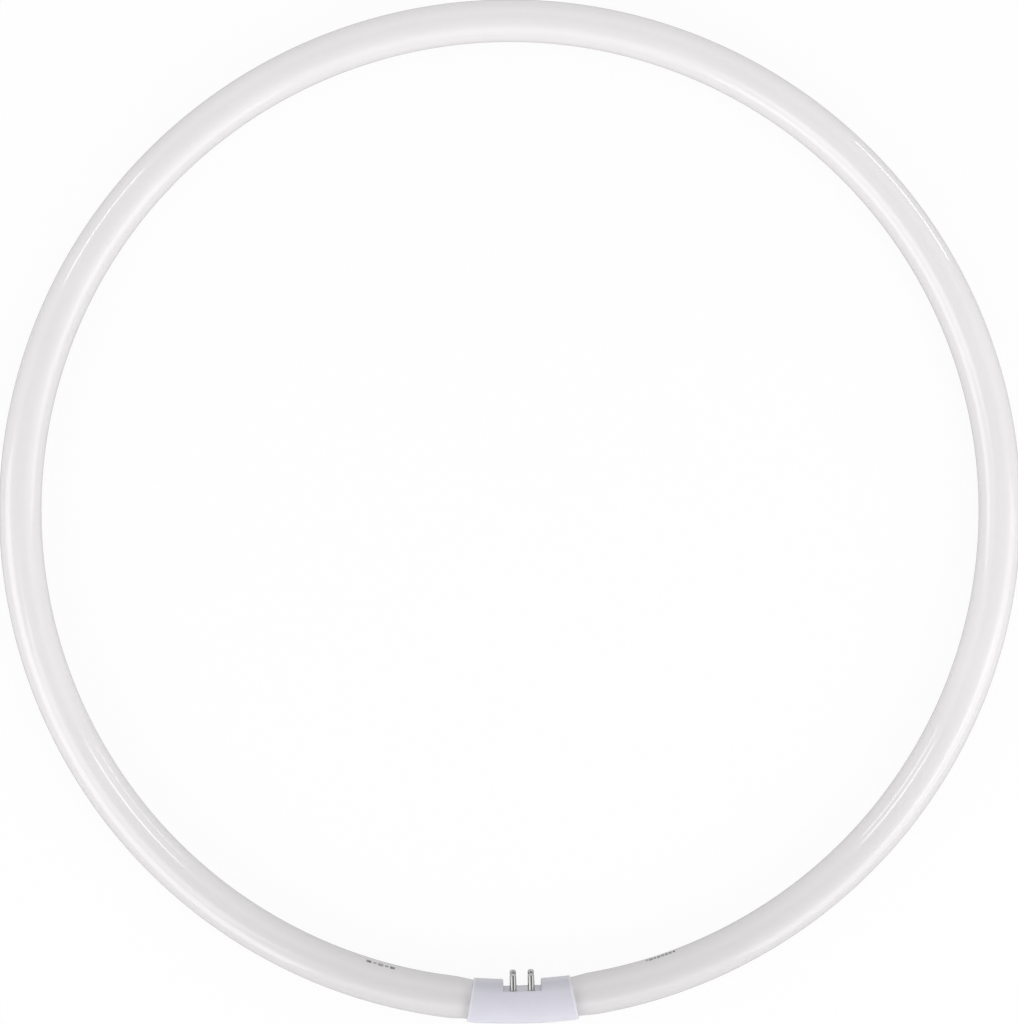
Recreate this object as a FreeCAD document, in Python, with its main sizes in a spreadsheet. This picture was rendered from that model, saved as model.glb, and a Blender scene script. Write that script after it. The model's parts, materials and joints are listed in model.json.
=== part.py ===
"""Circular fluorescent tube: a ring of coated glass, closed by a two-part cap with four contact pins.

Millimetres. The ring lies flat, with its axis along +Z and its centre over the origin. The cap is at -Y,
the pins point to the centre of the ring, and the lowest line of the cap touches z = 0.
"""
import FreeCAD, Part
import math
import os
import Sketcher
from FreeCAD import Placement, Rotation, Vector

SIZES = {
    # Glass ring
    "ring_outer_diameter": 375,  # across the glass ring
    "tube_diameter": 15.5,  # glass tube
    "neck_step": 0.65,  # how far the tube's wall is drawn in at a neck
    "neck_taper_length": 8.5,  # run of the drawn-in curve
    "neck_bare_length": 0.3,  # straight neck in sight before the cap
    "neck_insertion": 7,  # neck inside the cap, along X
    "rim_rounding": 0.8,  # outer edge of the sealed rim
    "rim_width": 1.4,  # wall of the sealed rim
    "seal_flare": 1.2,  # taper of the funnel behind the rim
    "seal_depth": 3,  # depth of that funnel
    "stub_diameter": 3.8,  # pinched-off exhaust stub
    "stub_length": 6.5,  # stub, from the funnel's floor
    # Contact pins
    "pin_diameter": 2.4,  # contact pin
    "pin_length": 6.2,  # pin above its seat
    "pin_tip_rounding": 0.9,  # edge of the pin's tip
    "pin_tip_wall": 1.4,  # closed end of the hollow pin
    "pin_row_spacing": 6.6,  # between the pins of the two tube ends
    "pin_pair_spacing": 12.7,  # between the two pins of one tube end
    "pin_collar_diameter": 2.8,  # collar that sits on the seat
    "pin_collar_height": 0.3,  # collar above the seat
    "pin_root_diameter": 2,  # pin where it passes through the seat
    "pin_flare_diameter": 2.6,  # rolled flare that clamps the pin from inside
    "pin_flare_height": 0.5,  # thickness of that flare
    "pin_tail_diameter": 1.8,  # tail inside the cap
    "pin_tail_length": 2.2,  # tail below the flare
    "pin_bore_diameter": 0.9,  # bore that takes the lead wire
    "pin_hole_clearance": 0.03,  # round the pin's root
    "pin_seat_clearance": 0.1,  # between a flare and the chamber's wall
    # Cap
    "notch_side_room": 2.2,  # from a pin's collar to the side of the notch
    "notch_depth": 3,  # from the cap's inner face to the pins' seat
    "notch_floor": 1.4,  # plastic under the seat
    "notch_rounding": 0.6,  # edges of the notch
    "shoulder_wall": 5.2,  # solid stop between the notch and a neck
    "rim_clearance": 0.3,  # between the rim and its stop
    "neck_clearance": 0.1,  # round the neck in its collar
    "collar_wall": 0.5,  # cap round the neck
    "collar_length": 3.6,  # grip of the collar on the neck
    "cap_wall": 1,  # outer wall of the chamber
    "cap_end_tilt": 11.5,  # slope of the cap's ends, in degrees
    "cap_crown_radius": 13,  # crown of the cap's broad faces
    "crown_margin": 0.63,  # from the edge of the crown up to the pins' seat
    "cap_edge_rounding": 0.5,  # edges of the cap's ends
    "parting_bevel": 0.2,  # outer edges where the two halves meet
    "pin_edge_margin": 1.6,  # from a collar to the cap's broad face
    "peg_diameter": 1.8,  # peg that registers the two halves
    "peg_length": 1.6,  # peg beyond the parting face
    "peg_clearance": 0.1,  # round the peg in its socket
    "peg_side_room": 1.2,  # from the notch to the peg
    # Lead wires
    "lead_diameter": 0.6,  # lead wire
    "lead_straight": 2.5,  # wire beyond the rim before it turns
    "lead_slack": 1,  # wire below a tail before the bend
    "lead_insertion": 1,  # wire inside the tail
    "lead_bend_radius": 2,  # bends of the wire
}

UP = Vector(0, 0, 1)

doc = FreeCAD.newDocument("circular_fluorescent_tube")
sheet = doc.addObject("Spreadsheet::Sheet", "sizes")
derived = doc.addObject("App::VarSet", "derived")
for row, (alias, value) in enumerate(SIZES.items(), 1):
    sheet.set(f"A{row}", alias.replace("_", " "))
    sheet.set(f"B{row}", str(value))
    sheet.setAlias(f"B{row}", alias)


def derive(name, expression):
    """Keep a dimension that follows from the driving ones."""
    derived.addProperty("App::PropertyFloat", name)
    derived.setExpression(name, expression)


# The straight ends leave the ring where they meet the cap's ends at the wanted width
derive("ring_radius", "(sizes.ring_outer_diameter - sizes.tube_diameter) / 2")
derive("tube_radius", "sizes.tube_diameter / 2")
derive("neck_radius", "derived.tube_radius - sizes.neck_step")
derive("bore_radius", "derived.neck_radius + sizes.neck_clearance")
derive("notch_half_width", "(sizes.pin_row_spacing + sizes.pin_collar_diameter) / 2 + sizes.notch_side_room")
derive("rim_offset", "derived.notch_half_width + sizes.shoulder_wall + sizes.rim_clearance")
derive("cap_half_width", "derived.rim_offset + sizes.neck_insertion")
derive("neck_reach", "sizes.neck_taper_length + sizes.neck_bare_length")
derive("face_angle", "asin(derived.cap_half_width / hypot(derived.ring_radius; derived.neck_reach)) / 1deg")
derive("start_angle", "derived.face_angle + atan(derived.neck_reach / derived.ring_radius) / 1deg")
derive("start_x", "derived.ring_radius * sin(derived.start_angle)")
derive("start_y", "derived.ring_radius * cos(derived.start_angle)")
derive("end_length", "(derived.start_x - derived.rim_offset) / cos(derived.start_angle)")
derive("seal_floor", "derived.end_length - sizes.seal_depth")
derive("mouth_radius", "derived.neck_radius - sizes.rim_width")
derive("floor_radius", "derived.mouth_radius - sizes.seal_flare")
derive("stub_radius", "sizes.stub_diameter / 2")
derive("lead_offset", "(derived.stub_radius + derived.floor_radius) / 2")

# The cap's section is centred on the neck, halfway along the part that it covers
derive("cap_mid_radius", "hypot(derived.ring_radius; (derived.neck_reach + derived.end_length) / 2)")
derive("cap_half_height", "derived.bore_radius + sizes.collar_wall")
derive("cap_inner", "derived.cap_mid_radius - derived.cap_half_height")
derive("cap_outer", "derived.cap_mid_radius + derived.cap_half_height")
derive("pin_cover", "(sizes.pin_pair_spacing + sizes.pin_collar_diameter) / 2 + sizes.pin_edge_margin")
derive("cap_half_depth", "max(derived.pin_cover; derived.cap_half_height)")

# The crown of the section ends just outside the pins' seat, and the corners are tangent to it and to the sides
derive("crown_half_width", "derived.cap_half_height - sizes.notch_depth - sizes.crown_margin")
derive("crown_rise", "sqrt(sizes.cap_crown_radius^2 - derived.crown_half_width^2)")
derive("crown_centre", "derived.cap_half_depth - sizes.cap_crown_radius")
derive("crown_edge", "derived.crown_centre + derived.crown_rise")
derive("corner_share", "(derived.cap_half_height - derived.crown_half_width)"
       " / (sizes.cap_crown_radius - derived.crown_half_width)")
derive("corner_radius", "derived.corner_share * sizes.cap_crown_radius")
derive("side_height", "derived.crown_centre + derived.crown_rise * (1 - derived.corner_share)")

# The pins stand on a seat inside the notch, over a chamber for their tails and the wires
derive("seat_radius", "derived.cap_inner + sizes.notch_depth")
derive("chamber_inner", "derived.seat_radius + sizes.notch_floor")
derive("chamber_outer", "derived.cap_outer - sizes.cap_wall")
derive("chamber_depth", "(sizes.pin_pair_spacing + sizes.pin_flare_diameter) / 2 + sizes.pin_seat_clearance")
derive("chamber_half_width", "derived.cap_half_width - sizes.collar_length")
derive("end_slant", "derived.cap_half_height * tan(sizes.cap_end_tilt)")
derive("peg_radius", "sizes.peg_diameter / 2")
derive("peg_x", "derived.notch_half_width + sizes.peg_side_room + derived.peg_radius")
derive("peg_y", "(derived.cap_inner + derived.chamber_inner) / 2")
derive("tail_end", "sizes.notch_floor + sizes.pin_flare_height + sizes.pin_tail_length")
doc.recompute()


def number(expression):
    """Work out an expression of the sheet now."""
    result = derived.evalExpression(expression)
    return float(getattr(result, "Value", result))


def is_zero(distance):
    return abs(distance) < FreeCAD.Base.Precision.approximation()


def origin_plane(body, role):
    return next(feature for feature in body.Origin.OriginFeatures if feature.Role == role)


def sketch_on(body, name, role):
    sketch = body.newObject("Sketcher::SketchObject", name)
    sketch.AttachmentSupport = [(origin_plane(body, role), "")]
    sketch.MapMode = "FlatFace"
    return sketch


def shift_sketch(sketch, x, y, turn):
    """Move a sketch within its plane and turn it there."""
    sketch.AttachmentOffset = Placement(Vector(), Rotation(UP, number(turn)))
    sketch.setExpression("AttachmentOffset.Base.x", x)
    sketch.setExpression("AttachmentOffset.Base.y", y)
    sketch.setExpression("AttachmentOffset.Rotation.Angle", turn)


def bind(sketch, constraint, expression):
    index = sketch.addConstraint(constraint)
    sketch.setExpression(f"Constraints[{index}]", expression)


def place_along(sketch, kind, axis, geometry, end, expression):
    """Fix one coordinate of a point, measured from the sketch's origin."""
    distance = number(expression)
    if is_zero(distance):
        sketch.addConstraint(Sketcher.Constraint("PointOnObject", geometry, end, axis))
    elif distance > 0:
        bind(sketch, Sketcher.Constraint(kind, -1, 1, geometry, end, distance), expression)
    else:
        bind(sketch, Sketcher.Constraint(kind, geometry, end, -1, 1, -distance), f"-({expression})")


def arc_between(start, end, heading):
    """Arc from start to end that leaves start along heading, and whether it runs clockwise."""
    left = Vector(-heading.y, heading.x, 0)
    chord = end - start
    signed_radius = chord.dot(chord) / (2 * left.dot(chord))
    centre = start + left * signed_radius
    clockwise = signed_radius < 0
    first, last = (end, start) if clockwise else (start, end)
    angles = [math.atan2(spot.y - centre.y, spot.x - centre.x) for spot in (first, last)]
    return Part.ArcOfCircle(Part.Circle(centre, UP, abs(signed_radius)), *angles), clockwise


def heading_at(start, end, heading):
    """Direction in which the arc from start along heading arrives at end."""
    chord = (end - start).normalize()
    return chord * (2 * chord.dot(heading)) - heading


def outline(sketch, corners):
    """Draw a closed profile. Each corner is (x, y, step), and step leads on to the next corner:
    a line, an arc tangent to the step before it, or an arc_into tangent to the step after it."""
    spots = [Vector(number(x), number(y), 0) for x, y, step in corners]
    steps = [step for x, y, step in corners]
    count = len(corners)
    ends = []
    heading = Vector()
    for index, step in enumerate(steps):
        start = spots[index]
        end = spots[(index + 1) % count]
        if step == "line":
            geometry = sketch.addGeometry(Part.LineSegment(start, end))
            heading = (end - start).normalize()
            ends.append((geometry, 1, 2))
            continue
        if step == "arc":
            arc, clockwise = arc_between(start, end, heading)
            heading = heading_at(start, end, heading)
        else:
            onward = (spots[(index + 2) % count] - end).normalize()
            arc, anticlockwise = arc_between(end, start, -onward)
            clockwise = not anticlockwise
            heading = onward
        geometry = sketch.addGeometry(arc)
        ends.append((geometry, 2, 1) if clockwise else (geometry, 1, 2))
    for index in range(count):
        geometry, start, end = ends[index]
        following, following_start, _ = ends[(index + 1) % count]
        smooth = steps[(index + 1) % count] == "arc" or steps[index] == "arc_into"
        joint = "Tangent" if smooth else "Coincident"
        sketch.addConstraint(Sketcher.Constraint(joint, geometry, end, following, following_start))
        x, y, step = corners[index]
        place_along(sketch, "DistanceX", -2, geometry, start, x)
        place_along(sketch, "DistanceY", -1, geometry, start, y)


def circle(sketch, x, y, radius):
    centre = Vector(number(x), number(y), 0)
    geometry = sketch.addGeometry(Part.Circle(centre, UP, number(radius)))
    place_along(sketch, "DistanceX", -2, geometry, 3, x)
    place_along(sketch, "DistanceY", -1, geometry, 3, y)
    bind(sketch, Sketcher.Constraint("Radius", geometry, number(radius)), radius)


def rectangle(sketch, left, right, bottom, top):
    corners = [(left, bottom), (right, bottom), (right, top), (left, top)]
    outline(sketch, [(x, y, "line") for x, y in corners])


def turned(body, kind, name, sketch, axis, angle):
    """Revolution or Groove about an axis of its sketch, the same way to both sides of it."""
    feature = body.newObject(f"PartDesign::{kind}", name)
    feature.Profile = sketch
    feature.ReferenceAxis = (sketch, [axis])
    feature.Midplane = True
    feature.setExpression("Angle", angle)
    return feature


def cut_through(body, name, sketch):
    """Pocket through everything on both sides of its sketch."""
    pocket = body.newObject("PartDesign::Pocket", name)
    pocket.Profile = sketch
    pocket.Type = "ThroughAll"
    pocket.Midplane = True
    return pocket


def mirrored(body, name, features):
    mirror = body.newObject("PartDesign::Mirrored", name)
    mirror.Originals = features
    mirror.MirrorPlane = (origin_plane(body, "YZ_Plane"), [""])
    body.Tip = mirror
    return mirror


def rounded(body, name, base, chosen, radius):
    """Fillet the edges of the base feature that the chosen test picks out."""
    doc.recompute()
    edges = [f"Edge{n}" for n, edge in enumerate(base.Shape.Edges, 1) if chosen(edge)]
    fillet = body.newObject("PartDesign::Fillet", name)
    fillet.Base = (base, edges)
    fillet.setExpression("Radius", radius)
    return fillet


def new_body(label, x="0", y="0", z="0"):
    """Body at its place above the floor: z is measured from the plane of the ring."""
    body = doc.addObject("PartDesign::Body", label)
    body.setExpression("Placement.Base.x", x)
    body.setExpression("Placement.Base.y", y)
    body.setExpression("Placement.Base.z", f"derived.cap_half_depth + {z}")
    return body


def shift_to_end(sketch):
    """Put a sketch on the straight end of the tube: X runs along its axis into the cap."""
    shift_sketch(sketch, "derived.start_x", "-derived.start_y", "180 + derived.start_angle")


def make_discharge_tube():
    """Ring bent from one tube, whose two straight ends are drawn in and sealed by a funnel and a stub."""
    body = new_body("discharge_tube")
    section = sketch_on(body, "tube_section", "YZ_Plane")
    circle(section, "derived.ring_radius", "0", "derived.tube_radius")
    turned(body, "Revolution", "ring", section, "V_Axis", "360 - 2 * derived.start_angle")
    profile = sketch_on(body, "neck_profile", "XY_Plane")
    shift_to_end(profile)
    stub_tip = "derived.seal_floor + sizes.stub_length"
    outline(profile, [
        ("0", "0", "line"),
        (stub_tip, "0", "arc_into"),
        (f"{stub_tip} - derived.stub_radius", "derived.stub_radius", "line"),
        ("derived.seal_floor", "derived.stub_radius", "line"),
        ("derived.seal_floor", "derived.floor_radius", "line"),
        ("derived.end_length", "derived.mouth_radius", "line"),
        ("derived.end_length", "derived.neck_radius - sizes.rim_rounding", "arc"),
        ("derived.end_length - sizes.rim_rounding", "derived.neck_radius", "line"),
        ("sizes.neck_taper_length", "derived.neck_radius", "arc"),
        ("sizes.neck_taper_length / 2", "derived.tube_radius - sizes.neck_step / 2", "arc"),
        ("0", "derived.tube_radius", "line"),
    ])
    neck = turned(body, "Revolution", "neck", profile, "H_Axis", "360")
    mirrored(body, "second_neck", [neck])
    return body


def make_cap_half(label, turn):
    """One half shell of the cap. Both halves are the same moulding: a half turn about Y makes its mate."""
    body = new_body(label)
    body.Placement.Rotation = Rotation(Vector(0, 1, 0), turn)

    section = sketch_on(body, "section", "YZ_Plane")
    outline(section, [
        ("-derived.cap_outer + sizes.parting_bevel", "0", "line"),
        ("-derived.cap_inner - sizes.parting_bevel", "0", "line"),
        ("-derived.cap_inner", "sizes.parting_bevel", "line"),
        ("-derived.cap_inner", "derived.side_height", "arc"),
        ("-derived.cap_mid_radius + derived.crown_half_width", "derived.crown_edge", "arc"),
        ("-derived.cap_mid_radius - derived.crown_half_width", "derived.crown_edge", "arc"),
        ("-derived.cap_outer", "derived.side_height", "line"),
        ("-derived.cap_outer", "sizes.parting_bevel", "line"),
    ])
    sweep = "2 * asin((derived.cap_half_width + 2 * derived.end_slant) / derived.cap_inner)"
    turned(body, "Revolution", "shell", section, "V_Axis", sweep)

    beyond_end = sketch_on(body, "beyond_end", "XY_Plane")
    shift_sketch(beyond_end, "derived.cap_half_width", "-derived.cap_mid_radius", "sizes.cap_end_tilt")
    reach = "2 * derived.cap_half_height"
    rectangle(beyond_end, "0", reach, f"-{reach}", reach)
    end_cut = cut_through(body, "end_cut", beyond_end)

    neck_room = sketch_on(body, "neck_room", "XY_Plane")
    shift_to_end(neck_room)
    rectangle(neck_room, "0", "derived.end_length + sizes.rim_clearance", "0", "derived.bore_radius")
    collar = turned(body, "Groove", "collar", neck_room, "H_Axis", "360")
    mirrored(body, "other_end", [end_cut, collar])

    wire_room = sketch_on(body, "wire_room", "YZ_Plane")
    outline(wire_room, [
        ("-derived.chamber_outer", "0", "line"),
        ("-derived.chamber_inner", "0", "line"),
        ("-derived.chamber_inner", "derived.chamber_depth", "line"),
        ("-derived.chamber_outer + derived.corner_radius", "derived.chamber_depth", "arc"),
        ("-derived.chamber_outer", "derived.chamber_depth - derived.corner_radius", "line"),
    ])
    chamber_sweep = "2 * asin(derived.chamber_half_width / derived.cap_mid_radius)"
    turned(body, "Groove", "chamber", wire_room, "V_Axis", chamber_sweep)

    pin_gap = sketch_on(body, "pin_gap", "XY_Plane")
    side = "derived.notch_half_width"
    rectangle(pin_gap, f"-{side}", side, "-derived.seat_radius", "-derived.cap_inner + sizes.notch_depth")
    notch = cut_through(body, "notch", pin_gap)

    pin_circles = sketch_on(body, "pin_circles", "XZ_Plane")
    for column in ("-", ""):
        hole_radius = "sizes.pin_root_diameter / 2 + sizes.pin_hole_clearance"
        circle(pin_circles, f"{column}sizes.pin_row_spacing / 2", "sizes.pin_pair_spacing / 2", hole_radius)
    pin_holes = body.newObject("PartDesign::Pocket", "pin_holes")
    pin_holes.Profile = pin_circles
    pin_holes.Reversed = True
    pin_holes.setExpression("Length", "derived.cap_mid_radius")

    peg_circle = sketch_on(body, "peg_circle", "XY_Plane")
    circle(peg_circle, "derived.peg_x", "-derived.peg_y", "derived.peg_radius")
    peg = body.newObject("PartDesign::Pad", "peg")
    peg.Profile = peg_circle
    peg.Reversed = True
    peg.setExpression("Length", "sizes.peg_length")

    socket_circle = sketch_on(body, "socket_circle", "XY_Plane")
    circle(socket_circle, "-derived.peg_x", "-derived.peg_y", "derived.peg_radius + sizes.peg_clearance")
    socket = body.newObject("PartDesign::Pocket", "socket")
    socket.Profile = socket_circle
    socket.Reversed = True
    socket.setExpression("Length", "sizes.peg_length + sizes.peg_clearance")

    rounded_ends = rounded(body, "end_rounding", socket, on_end_edge, "sizes.cap_edge_rounding")
    rounded(body, "notch_edges", rounded_ends, on_notch_edge, "sizes.notch_rounding")
    return body


def spots_on(edge):
    """Start, middle and end of an edge."""
    start, end = edge.ParameterRange
    return [edge.valueAt(place) for place in (start, (start + end) / 2, end)]


def outside_bore(spot):
    """Whether a point of the cap is clear of the round room for the tube's necks."""
    start = Vector(number("derived.start_x"), -number("derived.start_y"), 0)
    along = Rotation(UP, number("derived.start_angle")).multVec(Vector(-1, 0, 0))
    from_start = Vector(abs(spot.x), spot.y, spot.z) - start
    off_axis = from_start - along * from_start.dot(along)
    return off_axis.Length > number("derived.bore_radius + sizes.collar_wall / 2")


def on_end_edge(edge):
    """Outer edges of the slanted ends."""
    slope = math.radians(number("sizes.cap_end_tilt"))
    outward = Vector(math.cos(slope), math.sin(slope), 0)
    foot = Vector(number("derived.cap_half_width"), -number("derived.cap_mid_radius"), 0)
    spots = spots_on(edge)
    flat = all(is_zero((Vector(abs(p.x), p.y, p.z) - foot).dot(outward)) for p in spots)
    above = max(p.z for p in spots) > number("sizes.cap_edge_rounding")
    return flat and above and all(outside_bore(p) for p in spots)


def on_notch_edge(edge):
    """Edges where the notch's sides meet the outside of the cap."""
    side = number("derived.notch_half_width")
    seat = -number("derived.seat_radius")
    spots = spots_on(edge)
    on_side = all(is_zero(abs(p.x) - side) for p in spots)
    above = max(p.z for p in spots) > number("sizes.notch_rounding")
    at_seat = all(is_zero(p.y - seat) for p in spots)
    return on_side and above and not at_seat


def make_pin(label, x_sign, z_sign):
    """Hollow pin: a shank with a rounded tip, a collar on the seat, a flare below it and a tail."""
    x = f"{x_sign} * sizes.pin_row_spacing / 2"
    z = f"{z_sign} * sizes.pin_pair_spacing / 2"
    body = new_body(label, x, "-derived.seat_radius", z)
    profile = sketch_on(body, "profile", "XY_Plane")
    flare_foot = "-(sizes.notch_floor + sizes.pin_flare_height)"
    outline(profile, [
        ("sizes.pin_bore_diameter / 2", "-derived.tail_end", "line"),
        ("sizes.pin_tail_diameter / 2", "-derived.tail_end", "line"),
        ("sizes.pin_tail_diameter / 2", flare_foot, "line"),
        ("sizes.pin_flare_diameter / 2", flare_foot, "line"),
        ("sizes.pin_flare_diameter / 2", "-sizes.notch_floor", "line"),
        ("sizes.pin_root_diameter / 2", "-sizes.notch_floor", "line"),
        ("sizes.pin_root_diameter / 2", "0", "line"),
        ("sizes.pin_collar_diameter / 2", "0", "line"),
        ("sizes.pin_collar_diameter / 2", "sizes.pin_collar_height", "line"),
        ("sizes.pin_diameter / 2", "sizes.pin_collar_height", "line"),
        ("sizes.pin_diameter / 2", "sizes.pin_length - sizes.pin_tip_rounding", "arc"),
        ("sizes.pin_diameter / 2 - sizes.pin_tip_rounding", "sizes.pin_length", "line"),
        ("0", "sizes.pin_length", "line"),
        ("0", "sizes.pin_length - sizes.pin_tip_wall", "line"),
        ("sizes.pin_bore_diameter / 2", "sizes.pin_length - sizes.pin_tip_wall", "line"),
    ])
    turned(body, "Revolution", "pin", profile, "V_Axis", "360")
    return body


def bent_path(points, radius):
    """Straight runs through the points, joined by tangent arcs of one radius."""
    edges = []
    start = points[0]
    for before, corner, after in zip(points, points[1:], points[2:]):
        back = (before - corner).normalize()
        onward = (after - corner).normalize()
        half_angle = back.getAngle(onward) / 2
        cut = radius / math.tan(half_angle)
        to_centre = (back + onward).normalize() * (radius / math.sin(half_angle))
        middle = corner + to_centre - to_centre.normalize() * radius
        arc_start = corner + back * cut
        arc_end = corner + onward * cut
        edges.append(Part.LineSegment(start, arc_start).toShape())
        edges.append(Part.Arc(arc_start, middle, arc_end).toShape())
        start = arc_end
    edges.append(Part.LineSegment(start, points[-1]).toShape())
    return Part.Wire(edges)


def make_lead_wire(label, x_sign, z_sign):
    """Wire from the floor of the funnel, out past the rim, then up into the tail of its pin."""
    angle = math.radians(number("derived.start_angle"))
    along = Vector(-x_sign * math.cos(angle), -math.sin(angle), 0)
    ring_end = Vector(x_sign * number("derived.start_x"), -number("derived.start_y"), 0)
    seal = ring_end + along * number("derived.seal_floor") + UP * (z_sign * number("derived.lead_offset"))
    turn = seal + along * number("sizes.seal_depth + sizes.lead_straight")
    tail = Vector(x_sign, 0, 0) * number("sizes.pin_row_spacing / 2")
    tail += UP * (z_sign * number("sizes.pin_pair_spacing / 2"))
    tail.y = -number("derived.seat_radius + derived.tail_end")
    below = tail - Vector(0, number("sizes.lead_bend_radius + sizes.lead_slack"), 0)
    inside = tail + Vector(0, number("sizes.lead_insertion"), 0)
    path = bent_path([seal, turn, below, inside], number("sizes.lead_bend_radius"))
    section = Part.Wire(Part.Circle(seal, along, number("sizes.lead_diameter / 2")).toShape())
    wire = doc.addObject("Part::Feature", label)
    wire.Shape = path.makePipeShell([section], True, False)
    wire.Placement = Placement(UP * number("derived.cap_half_depth"), Rotation())
    return wire


nodes = [
    make_discharge_tube(),
    make_cap_half("cap_front_half", 0),
    make_cap_half("cap_rear_half", 180),
]
for depth, z_sign in (("front", 1), ("rear", -1)):
    for hand, x_sign in (("left", -1), ("right", 1)):
        nodes.append(make_pin(f"contact_pin_{depth}_{hand}", x_sign, z_sign))
        nodes.append(make_lead_wire(f"lead_wire_{depth}_{hand}", x_sign, z_sign))
doc.recompute()

for thing in doc.Objects:
    if "Invalid" in thing.State or "Error" in thing.State:
        raise RuntimeError(f"{thing.Name} failed: {thing.State}")
for node in nodes:
    if node.Shape.isNull() or not node.Shape.isValid() or len(node.Shape.Solids) != 1:
        raise RuntimeError(f"{node.Label} is not one valid solid")

os.makedirs("parts", exist_ok=True)
for node in nodes:
    node.Shape.exportStep(f"parts/{node.Label}.step")
    print(f"{node.Label}: {node.Shape.Volume:.2f} mm3")
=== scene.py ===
# %% [markdown]
# # A circular fluorescent tube
# The lamp is one long glass tube, coated white inside and bent into a ring. A small plastic cap closes
# the gap between its two ends and carries four contact pins. The solids come from CAD and are already
# at their real size and place, so this lesson only dresses them: a finer glass ring, ink marks,
# materials, light and a camera.

# %% Load the solids
import json
import math

import bmesh
import bpy
from mathutils import Matrix, Vector

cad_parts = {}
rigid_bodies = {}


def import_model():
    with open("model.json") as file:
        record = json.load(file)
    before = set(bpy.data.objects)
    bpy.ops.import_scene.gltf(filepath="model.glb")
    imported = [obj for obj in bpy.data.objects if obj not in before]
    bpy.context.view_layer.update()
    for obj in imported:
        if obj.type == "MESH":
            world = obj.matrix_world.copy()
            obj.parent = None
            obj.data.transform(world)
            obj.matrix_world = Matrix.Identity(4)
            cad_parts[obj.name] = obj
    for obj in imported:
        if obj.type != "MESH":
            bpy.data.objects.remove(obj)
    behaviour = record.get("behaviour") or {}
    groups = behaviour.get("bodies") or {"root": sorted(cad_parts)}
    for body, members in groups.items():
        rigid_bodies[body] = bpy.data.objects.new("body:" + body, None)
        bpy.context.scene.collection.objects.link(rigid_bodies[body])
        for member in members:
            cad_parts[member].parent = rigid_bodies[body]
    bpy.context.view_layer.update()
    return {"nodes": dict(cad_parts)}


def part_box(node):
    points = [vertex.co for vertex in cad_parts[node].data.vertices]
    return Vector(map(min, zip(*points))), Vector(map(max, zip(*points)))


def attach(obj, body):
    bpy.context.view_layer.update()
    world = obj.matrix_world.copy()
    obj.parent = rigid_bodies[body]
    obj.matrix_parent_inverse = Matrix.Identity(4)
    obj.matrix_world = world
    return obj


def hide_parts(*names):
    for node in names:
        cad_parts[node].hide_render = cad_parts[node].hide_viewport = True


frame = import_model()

nodes = frame["nodes"]
MM = 0.001
print("solids:", ", ".join(sorted(nodes)))

# %% [markdown]
# ## Measuring the ring
# The main sizes could be typed in again, but then they could drift away from the solids, so they are
# read from them. The box of the glass gives the thickness of the tube and the radius of the ring. The
# tube is bent round most of a circle and then runs straight into the cap. The bend ends where the
# solid's points stop lying at one tube radius from the circle.

# %% Measure the bend
SAME_PLACE = 0.002 * MM

glass_low, glass_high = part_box("discharge_tube")
tube_radius = (glass_high.z - glass_low.z) / 2
ring_height = (glass_high.z + glass_low.z) / 2
ring_radius = glass_high.y - tube_radius
ring_middle = Vector((0, 0, ring_height))


def off_circle(point):
    """Distance of a point from the circle that the tube is bent round."""
    return math.hypot(math.hypot(point.x, point.y) - ring_radius, point.z - ring_height)


glass_points = [vertex.co.copy() for vertex in nodes["discharge_tube"].data.vertices]
bend_points = [p for p in glass_points if abs(off_circle(p) - tube_radius) < SAME_PLACE]
gap_angle = min(math.atan2(abs(p.x), -p.y) for p in bend_points)
half_turn = math.pi - gap_angle
print(f"ring radius {ring_radius / MM:.2f} mm, tube radius {tube_radius / MM:.3f} mm")
print(f"the bend stops {math.degrees(gap_angle):.2f} degrees from the middle of the cap")

# %% Measure the straight ends
NECK_SAMPLE = 2 * MM

bend_end = ring_middle + Vector((math.sin(gap_angle), -math.cos(gap_angle), 0)) * ring_radius
end_axis = Vector((-math.cos(gap_angle), -math.sin(gap_angle), 0))


def off_axis(point):
    """Place of a point along the straight end of the tube, and its distance from that end's axis."""
    along = (point - bend_end).dot(end_axis)
    return along, (point - bend_end - end_axis * along).length


end_points = [off_axis(p) for p in glass_points if p.x > 0 and math.atan2(p.x, -p.y) < gap_angle]
end_length = max(along for along, radius in end_points if radius > tube_radius / 2)
neck_radius = max(radius for along, radius in end_points if along > end_length - NECK_SAMPLE)
print(f"straight ends {end_length / MM:.2f} mm long, neck radius {neck_radius / MM:.3f} mm")

# %% [markdown]
# ## Helpers for node trees
# Geometry and materials are both drawn as trees of nodes. Written out link by link, a tree takes many
# lines. A few helpers keep the script short: one feeds a socket with either a plain value or another
# node's output, one adds a node and fills in its settings, and one adds a step of arithmetic.

# %% Node helpers
def feed(tree, socket, value):
    """Link an output to a socket, or set the socket's own value."""
    if isinstance(value, bpy.types.NodeSocket):
        tree.links.new(value, socket)
    else:
        socket.default_value = value


def add_node(tree, kind, inputs=None, **settings):
    """Add a node, set its options, and feed its inputs by name or by number."""
    node = tree.nodes.new(kind)
    for name, value in settings.items():
        setattr(node, name, value)
    for key, value in (inputs or {}).items():
        feed(tree, node.inputs[key], value)
    return node


def calculate(tree, operation, *values):
    """One step of arithmetic."""
    node = add_node(tree, "ShaderNodeMath", dict(enumerate(values)), operation=operation)
    return node.outputs[0]


print("node helpers: feed, add_node, calculate")

# %% [markdown]
# ## Shared finishes
# Nothing real has one flat colour. Powder lies unevenly on the glass, moulded plastic has a fine grain,
# and plating is drawn out in streaks. All of these are noise that is stretched and mixed in, so one
# shader group serves them all. It reads the piece's own coordinates in metres, so its sizes are real
# sizes.

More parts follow.
